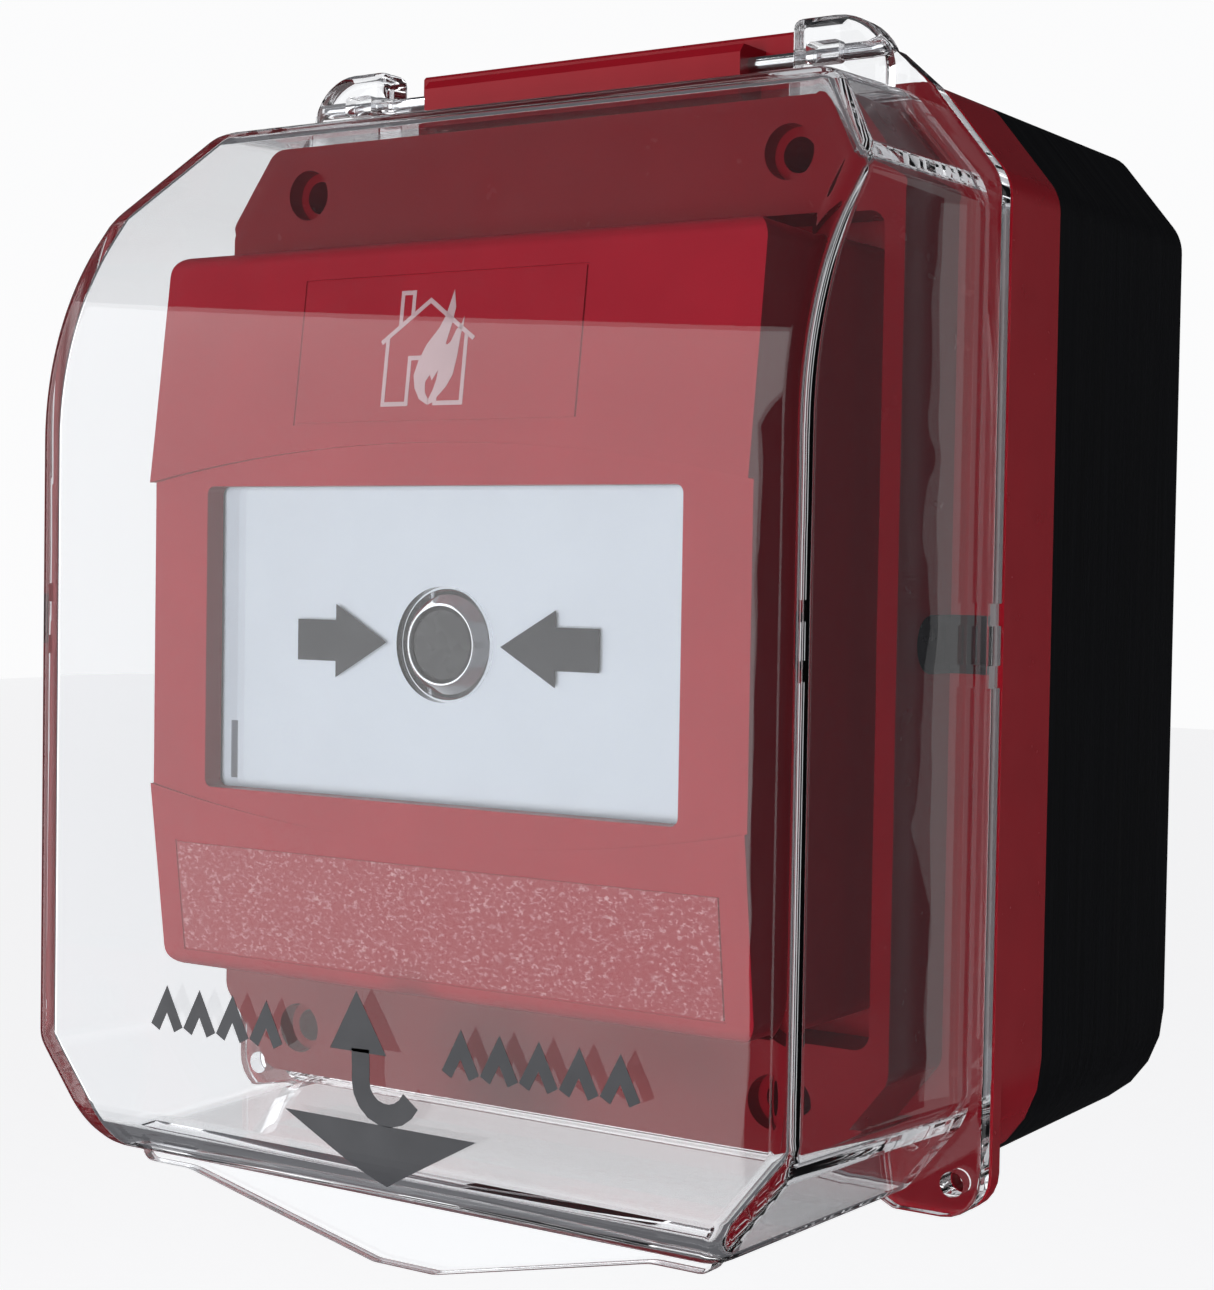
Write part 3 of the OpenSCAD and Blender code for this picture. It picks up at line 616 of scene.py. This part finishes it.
def house_and_flame():
    """A plain outline of a house with a chimney, and a flame that rises through its roof."""
    x0, z0 = -1.2, 31.9
    roof = [(-6.8, 1.0), (0, 5.7), (6.7, 1.1)]
    left_wall = [(-5.9, 1.5), (-5.9, -6.2), (-2.4, -6.2), (-2.4, -0.9), (-0.7, -0.9)]
    right_wall = [(5.6, 1.6), (5.6, -6.2), (1.8, -6.2), (1.8, -5.6)]
    chimney = [(-4.2, 3.0), (-4.2, 6.7), (-2.5, 6.7), (-2.5, 4.1)]
    flame = [
        (3.35, 6.8), (3.75, 4.8), (3.4, 3.0), (2.7, 0.6), (2.95, 0.5), (3.4, 0.8), (4.1, 2.2), (4.8, 2.9),
        (5.1, 3.7), (5.05, 2.7), (4.8, 1.7), (4.5, -1.0), (4.1, -3.0), (3.3, -4.3), (2.2, -5.4), (1.5, -6.1),
        (0.9, -6.35), (0.86, -5.7), (1.4, -4.7), (1.8, -3.5), (1.95, -2.4), (1.1, -3.6), (0.8, -2.9),
        (0.2, -3.7), (0.25, -4.9), (0.8, -5.72), (0.84, -6.35), (0.6, -6.3), (-0.5, -5.7), (-1.3, -4.4),
        (-1.6, -2.9), (-1.1, -1.3), (-0.1, 0.6), (1.6, 2.5), (2.4, 3.9), (2.8, 5.1)]
    shapes = [stroke(path, 0.52) for path in (roof, left_wall, right_wall, chimney)] + [flame]
    return [[(x + x0, z + z0) for x, z in shape] for shape in shapes]


decal("symbol_print", house_and_flame(), slope_depth, "wall_unit", PICTOGRAM_PALE, 0.04)


def cover_print():
    """Lifting marks on the cover: a hooked arrow, a triangle and two rows of chevrons."""
    shapes = []
    for start, count in ((-31.5, 4), (13.0, 5)):
        for i in range(count):
            x = start + 5.3 * i
            shapes.append(stroke([(x - 1.9, -49.9), (x, -46.3), (x + 1.9, -49.9)], 1.55))
    shapes.append([(-2.0, -42.0), (2.5, -49.0), (-5.8, -49.0)])
    bend = [(-1.3, -48.6), (-1.2, -51.0)]
    for i in range(9):
        a = math.radians(180 + 155 * i / 8)
        bend.append((2.6 + 3.8 * math.cos(a), -52.2 + 3.6 * math.sin(a)))
    shapes.append(stroke(bend, 2.6))
    # The triangle runs over the rounded lower edge, so it is laid down in level strips
    levels = (-57.0, -60.7, -61.6, -62.4, -63.1, -63.7, -64.3)
    for top, bottom in zip(levels, levels[1:]):
        strip = []
        for z, order in ((top, (-12.5, 15.3)), (bottom, (15.3, -12.5))):
            share = (z - levels[-1]) / (levels[0] - levels[-1])
            strip += [(2.0 + (x - 2.0) * share, z) for x in order]
        shapes.append(strip[:3] if bottom == levels[-1] else strip)
    return shapes


def cover_front_depth(z):
    """Depth of the cover's outer face, which is flat down to its rounded lower edge."""
    drop = max(0.0, COVER_LOW + LOW_R - z)
    return COVER_D - LOW_R + math.sqrt(LOW_R ** 2 - drop ** 2) + 0.005


decal("cover_lift_marks", cover_print(), cover_front_depth, "cover", PRINT_GREY, 0.03)

# ---------------------------------------------------------------- camera, light and floor

CAMERA_PLACE = (0.17041, -0.31179, 0.00746)
YAW, PITCH, ROLL = (math.radians(a) for a in (33.338, 1.975, -0.92))
forward = Vector((-math.sin(YAW) * math.cos(PITCH), math.cos(YAW) * math.cos(PITCH), -math.sin(PITCH)))
level_right = Vector((math.cos(YAW), math.sin(YAW), 0))
level_up = level_right.cross(forward)
right = level_right * math.cos(ROLL) - level_up * math.sin(ROLL)
up = level_up * math.cos(ROLL) + level_right * math.sin(ROLL)
camera_data = bpy.data.cameras.new("camera")
camera_data.sensor_width = 36
camera_data.lens = 66.3656
camera_data.clip_start = 0.01
camera = bpy.data.objects.new("camera", camera_data)
bpy.context.collection.objects.link(camera)
turned = Matrix((right, up, -forward)).transposed().to_4x4()
camera.matrix_world = Matrix.Translation(CAMERA_PLACE) @ turned
bpy.context.scene.camera = camera


def card(name, place, target, width, height, radiance, tone=(1, 1, 1)):
    """A soft rectangular light that faces a target. Its radiance is relative to white."""
    light = bpy.data.lights.new(name, "AREA")
    light.shape = "RECTANGLE"
    light.size, light.size_y = width, height
    light.energy = radiance * math.pi * width * height
    light.color = tone
    obj = bpy.data.objects.new(name, light)
    bpy.context.collection.objects.link(obj)
    obj.location = place
    obj.rotation_euler = (Vector(target) - Vector(place)).to_track_quat("-Z", "Y").to_euler()
    obj.visible_camera = False
    return obj


# The broad card at the left is what the flat front of the cover mirrors
card("left_card", (-0.619, -0.565, 0.10), (0.106, -0.227, 0.10), 0.86, 0.94, 1.4)
# The main light is kept out of reflections, where it would hide the call point in a view from the front
KEY_PLACE, KEY_SIZE, KEY_RADIANCE = (0.12, -0.98, -0.05), 0.40, 15.5
key_card = card("key_card", KEY_PLACE, (0, -0.05, 0), KEY_SIZE, KEY_SIZE, KEY_RADIANCE)
key_card.visible_glossy = False
key_card.visible_transmission = False
# These lights are linked to the chrome ring and the hinge rod, so that nothing else mirrors them
bright_metal = bpy.data.collections.new("bright_metal")
for piece in (RING, NODES["hinge_rod"]):
    bright_metal.objects.link(piece)
for name, place, size, radiance in (
        ("upper_card", (-0.42, -0.28, 0.52), 0.22, 5.0),
        ("lower_card", (-0.27, -0.22, -0.35), 0.22, 5.0),
        ("key_glint", KEY_PLACE, KEY_SIZE, KEY_RADIANCE)):
    small = card(name, place, (0, -0.09, 0), size, size, radiance)
    small.light_linking.receiver_collection = bright_metal
# A narrow card far behind, which the rear half of the cover's right wall mirrors
card("side_card", (0.508, 0.86, 0.0), (0.05, -0.05, 0), 0.08, 0.8, 0.36)

world = bpy.data.worlds.new("studio")
bpy.context.scene.world = world
world.use_nodes = True
tree = world.node_tree
tree.nodes.clear()
direction = tree.nodes.new("ShaderNodeTexCoord")
parts = tree.nodes.new("ShaderNodeSeparateXYZ")
tree.links.new(direction.outputs["Generated"], parts.inputs[0])
ramp = tree.nodes.new("ShaderNodeValToRGB")
ramp.color_ramp.elements[0].position = 0.0
ramp.color_ramp.elements[0].color = (0.30, 0.30, 0.31, 1)
ramp.color_ramp.elements[1].position = 1.0
ramp.color_ramp.elements[1].color = (0.24, 0.24, 0.25, 1)
tree.links.new(parts.outputs["Z"], ramp.inputs[0])
# What a mirrored ray sees: a dark room, brighter from inside the plastic and after several reflections
DARK_ROOM = (0.03, 0.03, 0.033)
ROOM_FROM_INSIDE = (0.13, 0.13, 0.14)
ROOM_SEEN_AGAIN = (0.62, 0.62, 0.64)


def tree_mix(tree, factor, below, above):
    node = tree.nodes.new("ShaderNodeMix")
    node.data_type = "RGBA"
    for socket, value in ((node.inputs[0], factor), (node.inputs[6], below), (node.inputs[7], above)):
        if isinstance(value, bpy.types.NodeSocket):
            tree.links.new(value, socket)
        else:
            socket.default_value = (*value, 1)
    return node.outputs[2]


def deeper_than(tree, rays, kind, depth):
    """1 where a ray has been bent or mirrored more often than this, and 0 elsewhere."""
    node = tree.nodes.new("ShaderNodeMath")
    node.operation = "GREATER_THAN"
    tree.links.new(rays.outputs[kind], node.inputs[0])
    node.inputs[1].default_value = depth
    return node.outputs[0]


def mirrored_room(tree, rays):
    room = tree_mix(tree, deeper_than(tree, rays, "Transmission Depth", 0.5), DARK_ROOM, ROOM_FROM_INSIDE)
    return tree_mix(tree, deeper_than(tree, rays, "Glossy Depth", 1.5), room, ROOM_SEEN_AGAIN)


# What is seen straight or through the cover is white
rays = tree.nodes.new("ShaderNodeLightPath")
shown = tree_mix(tree, deeper_than(tree, rays, "Diffuse Depth", 0.5), (0.97, 0.97, 0.975), ramp.outputs[0])
shown = tree_mix(tree, deeper_than(tree, rays, "Glossy Depth", 0.5), shown, mirrored_room(tree, rays))
background = tree.nodes.new("ShaderNodeBackground")
tree.links.new(shown, background.inputs[0])
world_out = tree.nodes.new("ShaderNodeOutputWorld")
tree.links.new(background.outputs[0], world_out.inputs[0])

FLOOR_Z, FLOOR_HALF = -0.42, 6
FLOOR_GLOW = 0.62
floor_mesh = bpy.data.meshes.new("floor")
floor_mesh.from_pydata(
    [(x * FLOOR_HALF, y * FLOOR_HALF, FLOOR_Z) for x, y in ((-1, -1), (1, -1), (1, 1), (-1, 1))],
    [], [(0, 1, 2, 3)])
floor = bpy.data.objects.new("floor", floor_mesh)
bpy.context.collection.objects.link(floor)
floor_paint = plastic("pale_floor", (0.93, 0.93, 0.935), 0.9, 0.01, 0.02, 300, specular=0.0)
floor_tree = floor_paint.node_tree
floor_shader = floor_tree.nodes["Principled BSDF"]
floor_shader.inputs["Emission Color"].default_value = (1, 1, 1, 1)
floor_shader.inputs["Emission Strength"].default_value = FLOOR_GLOW
# In mirror reflections the floor looks like the room
floor_rays = floor_tree.nodes.new("ShaderNodeLightPath")
floor_room = floor_tree.nodes.new("ShaderNodeEmission")
floor_tree.links.new(mirrored_room(floor_tree, floor_rays), floor_room.inputs["Color"])
floor_mix = floor_tree.nodes.new("ShaderNodeMixShader")
floor_tree.links.new(deeper_than(floor_tree, floor_rays, "Glossy Depth", 0.5), floor_mix.inputs[0])
floor_tree.links.new(floor_shader.outputs[0], floor_mix.inputs[1])
floor_tree.links.new(floor_room.outputs[0], floor_mix.inputs[2])
floor_tree.links.new(floor_mix.outputs[0], floor_tree.nodes["Material Output"].inputs[0])
floor.data.materials.append(floor_paint)

scene = bpy.context.scene
scene.view_settings.view_transform = "Standard"
scene.view_settings.look = "None"
scene.cycles.max_bounces = 24
scene.cycles.transmission_bounces = 20
scene.cycles.glossy_bounces = 16
scene.cycles.transparent_max_bounces = 16
scene.cycles.caustics_refractive = False
scene.cycles.caustics_reflective = False
